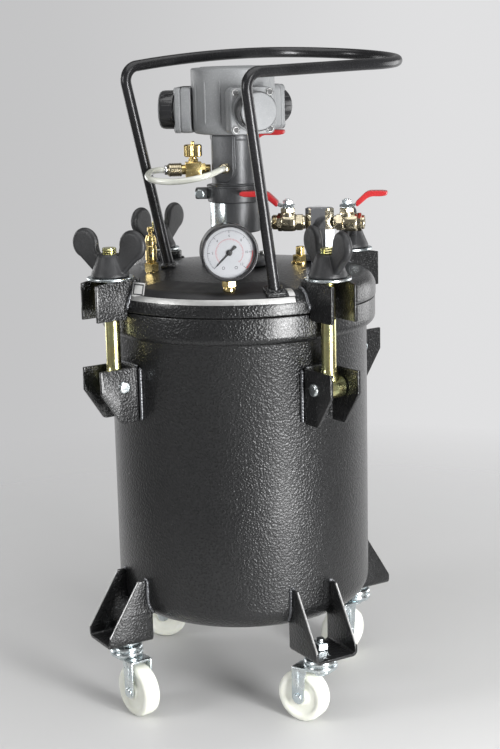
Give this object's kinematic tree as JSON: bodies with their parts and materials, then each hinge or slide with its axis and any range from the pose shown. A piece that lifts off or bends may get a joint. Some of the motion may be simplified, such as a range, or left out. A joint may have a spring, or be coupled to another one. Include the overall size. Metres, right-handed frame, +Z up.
{
  "type": "stirred resin pressure pot",
  "caption": "Wheeled pressure pot with a clamped lid, radial air motor with stirrer, gauge, ball valves, relief valve and bent rod handle",
  "frame": {"origin": "on the floor, at the middle of the whole object's footprint", "axes": "+Z up; -Y is the front, the way the gauge looks; +X is to the right as seen from the front"},
  "size_m": [0.3458, 0.324, 0.733],
  "materials": {
    "hammered_paint": "hammered grey enamel, satin",
    "grey_casting": "painted die casting, satin",
    "black_casting": "black powder coat, satin",
    "yellow_zinc": "yellow passivated zinc plate",
    "bright_zinc": "bright zinc plate",
    "white_nylon": "moulded nylon, satin",
    "brass": "turned brass",
    "nickel_plate": "nickel plated brass",
    "chrome_plate": "chrome plate, polished",
    "stainless_steel": "bright turned",
    "red_vinyl": "dipped vinyl",
    "black_rubber": "matt",
    "silver_hose": "satin silver",
    "black_plastic": "black enamel",
    "needle_black": "matt black"
  },
  "bodies": {
    "pot": {"tank": "hammered_paint", "lid": "hammered_paint", "lid_gasket": "black_rubber", "lid_lug_front_left": "hammered_paint", "hinge_bracket_front_left": "hammered_paint", "lid_lug_front_right": "hammered_paint", "hinge_bracket_front_right": "hammered_paint", "lid_lug_rear_right": "hammered_paint", "hinge_bracket_rear_right": "hammered_paint", "lid_lug_rear_left": "hammered_paint", "hinge_bracket_rear_left": "hammered_paint", "foot_bracket_front_left": "hammered_paint", "caster_stem_front_left": "bright_zinc", "foot_bracket_front_right": "hammered_paint", "caster_stem_front_right": "bright_zinc", "foot_bracket_rear_right": "hammered_paint", "caster_stem_rear_right": "bright_zinc", "foot_bracket_rear_left": "hammered_paint", "caster_stem_rear_left": "bright_zinc", "motor_stand": "hammered_paint", "clamp_ring": "grey_casting", "motor_neck": "grey_casting", "motor_body": "grey_casting", "motor_head_left": "grey_casting", "motor_head_front": "grey_casting", "motor_head_rear": "grey_casting", "gauge_case": "black_plastic", "manifold_post": "chrome_plate", "dip_tube": "stainless_steel", "ball_valve_left": "nickel_plate", "ball_valve_right": "nickel_plate", "air_valve": "nickel_plate", "relief_valve": "brass", "filler_plug": "brass", "needle_valve": "brass", "air_hose": "silver_hose", "handle": "hammered_paint"},
    "clamp_bolt_front_left": {"swing_bolt_front_left": "yellow_zinc"},
    "clamp_nut_front_left": {"wing_nut_front_left": "black_casting"},
    "clamp_bolt_front_right": {"swing_bolt_front_right": "yellow_zinc"},
    "clamp_nut_front_right": {"wing_nut_front_right": "black_casting"},
    "clamp_bolt_rear_right": {"swing_bolt_rear_right": "yellow_zinc"},
    "clamp_nut_rear_right": {"wing_nut_rear_right": "black_casting"},
    "clamp_bolt_rear_left": {"swing_bolt_rear_left": "yellow_zinc"},
    "clamp_nut_rear_left": {"wing_nut_rear_left": "black_casting"},
    "caster_front_left": {"caster_fork_front_left": "bright_zinc"},
    "wheel_front_left": {"caster_wheel_front_left": "white_nylon"},
    "caster_front_right": {"caster_fork_front_right": "bright_zinc"},
    "wheel_front_right": {"caster_wheel_front_right": "white_nylon"},
    "caster_rear_right": {"caster_fork_rear_right": "bright_zinc"},
    "wheel_rear_right": {"caster_wheel_rear_right": "white_nylon"},
    "caster_rear_left": {"caster_fork_rear_left": "bright_zinc"},
    "wheel_rear_left": {"caster_wheel_rear_left": "white_nylon"},
    "stirrer": {"stirrer": "stainless_steel"},
    "gauge_needle": {"gauge_needle": "needle_black"},
    "relief_stem": {"relief_stem": "brass"},
    "needle_valve_knob": {"needle_valve_knob": "brass"},
    "valve_lever_left": {"valve_lever_left": "red_vinyl"},
    "valve_lever_right": {"valve_lever_right": "red_vinyl"},
    "valve_lever_air": {"valve_lever_air": "red_vinyl"}
  },
  "joints": [
    {"name": "clamp_swing_front_left", "type": "hinge", "parent": "pot", "child": "clamp_bolt_front_left", "pos_m": [-0.12822, -0.11731, 0.381], "axis": [0.7071, -0.7071, 0], "range_deg": [0, 165]},
    {"name": "wing_nut_turn_front_left", "type": "hinge", "parent": "clamp_bolt_front_left", "child": "clamp_nut_front_left", "pos_m": [-0.12822, -0.11731, 0.511], "axis": [0, 0, 1], "continuous": true},
    {"name": "clamp_swing_front_right", "type": "hinge", "parent": "pot", "child": "clamp_bolt_front_right", "pos_m": [0.10512, -0.11731, 0.381], "axis": [0.7071, 0.7071, 0], "range_deg": [0, 165]},
    {"name": "wing_nut_turn_front_right", "type": "hinge", "parent": "clamp_bolt_front_right", "child": "clamp_nut_front_right", "pos_m": [0.10512, -0.11731, 0.511], "axis": [0, 0, 1], "continuous": true},
    {"name": "clamp_swing_rear_right", "type": "hinge", "parent": "pot", "child": "clamp_bolt_rear_right", "pos_m": [0.10512, 0.11603, 0.381], "axis": [-0.7071, 0.7071, 0], "range_deg": [0, 165]},
    {"name": "wing_nut_turn_rear_right", "type": "hinge", "parent": "clamp_bolt_rear_right", "child": "clamp_nut_rear_right", "pos_m": [0.10512, 0.11603, 0.511], "axis": [0, 0, 1], "continuous": true},
    {"name": "clamp_swing_rear_left", "type": "hinge", "parent": "pot", "child": "clamp_bolt_rear_left", "pos_m": [-0.12822, 0.11603, 0.381], "axis": [-0.7071, -0.7071, 0], "range_deg": [0, 165]},
    {"name": "wing_nut_turn_rear_left", "type": "hinge", "parent": "clamp_bolt_rear_left", "child": "clamp_nut_rear_left", "pos_m": [-0.12822, 0.11603, 0.511], "axis": [0, 0, 1], "continuous": true},
    {"name": "caster_swivel_front_left", "type": "hinge", "parent": "pot", "child": "caster_front_left", "pos_m": [-0.13079, -0.1043, 0.071], "axis": [0, 0, 1], "continuous": true},
    {"name": "wheel_roll_front_left", "type": "hinge", "parent": "caster_front_left", "child": "wheel_front_left", "pos_m": [-0.11445, -0.11902, 0.0295], "axis": [0.6691, 0.7431, 0], "continuous": true},
    {"name": "caster_swivel_front_right", "type": "hinge", "parent": "pot", "child": "caster_front_right", "pos_m": [0.09211, -0.11988, 0.071], "axis": [0, 0, 1], "continuous": true},
    {"name": "wheel_roll_front_right", "type": "hinge", "parent": "caster_front_right", "child": "wheel_front_right", "pos_m": [0.07217, -0.11059, 0.0295], "axis": [-0.4226, -0.9063, 0], "continuous": true},
    {"name": "caster_swivel_rear_right", "type": "hinge", "parent": "pot", "child": "caster_rear_right", "pos_m": [0.10769, 0.10302, 0.071], "axis": [0, 0, 1], "continuous": true},
    {"name": "wheel_roll_rear_right", "type": "hinge", "parent": "caster_rear_right", "child": "wheel_rear_right", "pos_m": [0.09355, 0.08616, 0.0295], "axis": [0.766, -0.6428, 0], "continuous": true},
    {"name": "caster_swivel_rear_left", "type": "hinge", "parent": "pot", "child": "caster_rear_left", "pos_m": [-0.11521, 0.1186, 0.071], "axis": [0, 0, 1], "continuous": true},
    {"name": "wheel_roll_rear_left", "type": "hinge", "parent": "caster_rear_left", "child": "wheel_rear_left", "pos_m": [-0.13721, 0.1186, 0.0295], "axis": [0, -1, 0], "continuous": true},
    {"name": "stirrer_spin", "type": "hinge", "parent": "pot", "child": "stirrer", "pos_m": [-0.01155, -0.00064, 0.596], "axis": [0, 0, 1], "continuous": true},
    {"name": "gauge_needle_turn", "type": "hinge", "parent": "pot", "child": "gauge_needle", "pos_m": [0.00415, -0.13694, 0.5285], "axis": [-0.2924, 0.9563, 0], "range_deg": [0, 270]},
    {"name": "relief_pull", "type": "slide", "parent": "pot", "child": "relief_stem", "axis": [0, 0, 1], "range_m": [0, 0.004], "stiffness_N_per_m": 400},
    {"name": "speed_knob_turn", "type": "hinge", "parent": "pot", "child": "needle_valve_knob", "pos_m": [-0.05598, -0.01255, 0.603], "axis": [0, 0, 1], "range_deg": [-540, 540]},
    {"name": "valve_lever_turn_left", "type": "hinge", "parent": "pot", "child": "valve_lever_left", "pos_m": [0.05274, -0.03864, 0.565], "axis": [0, 0, 1], "range_deg": [0, 90]},
    {"name": "valve_lever_turn_right", "type": "hinge", "parent": "pot", "child": "valve_lever_right", "pos_m": [0.11716, -0.03864, 0.565], "axis": [0, 0, -1], "range_deg": [0, 90]},
    {"name": "valve_lever_turn_air", "type": "hinge", "parent": "pot", "child": "valve_lever_air", "pos_m": [-0.01155, 0.04586, 0.626], "axis": [0, 0, 1], "range_deg": [0, 90]}
  ]
}
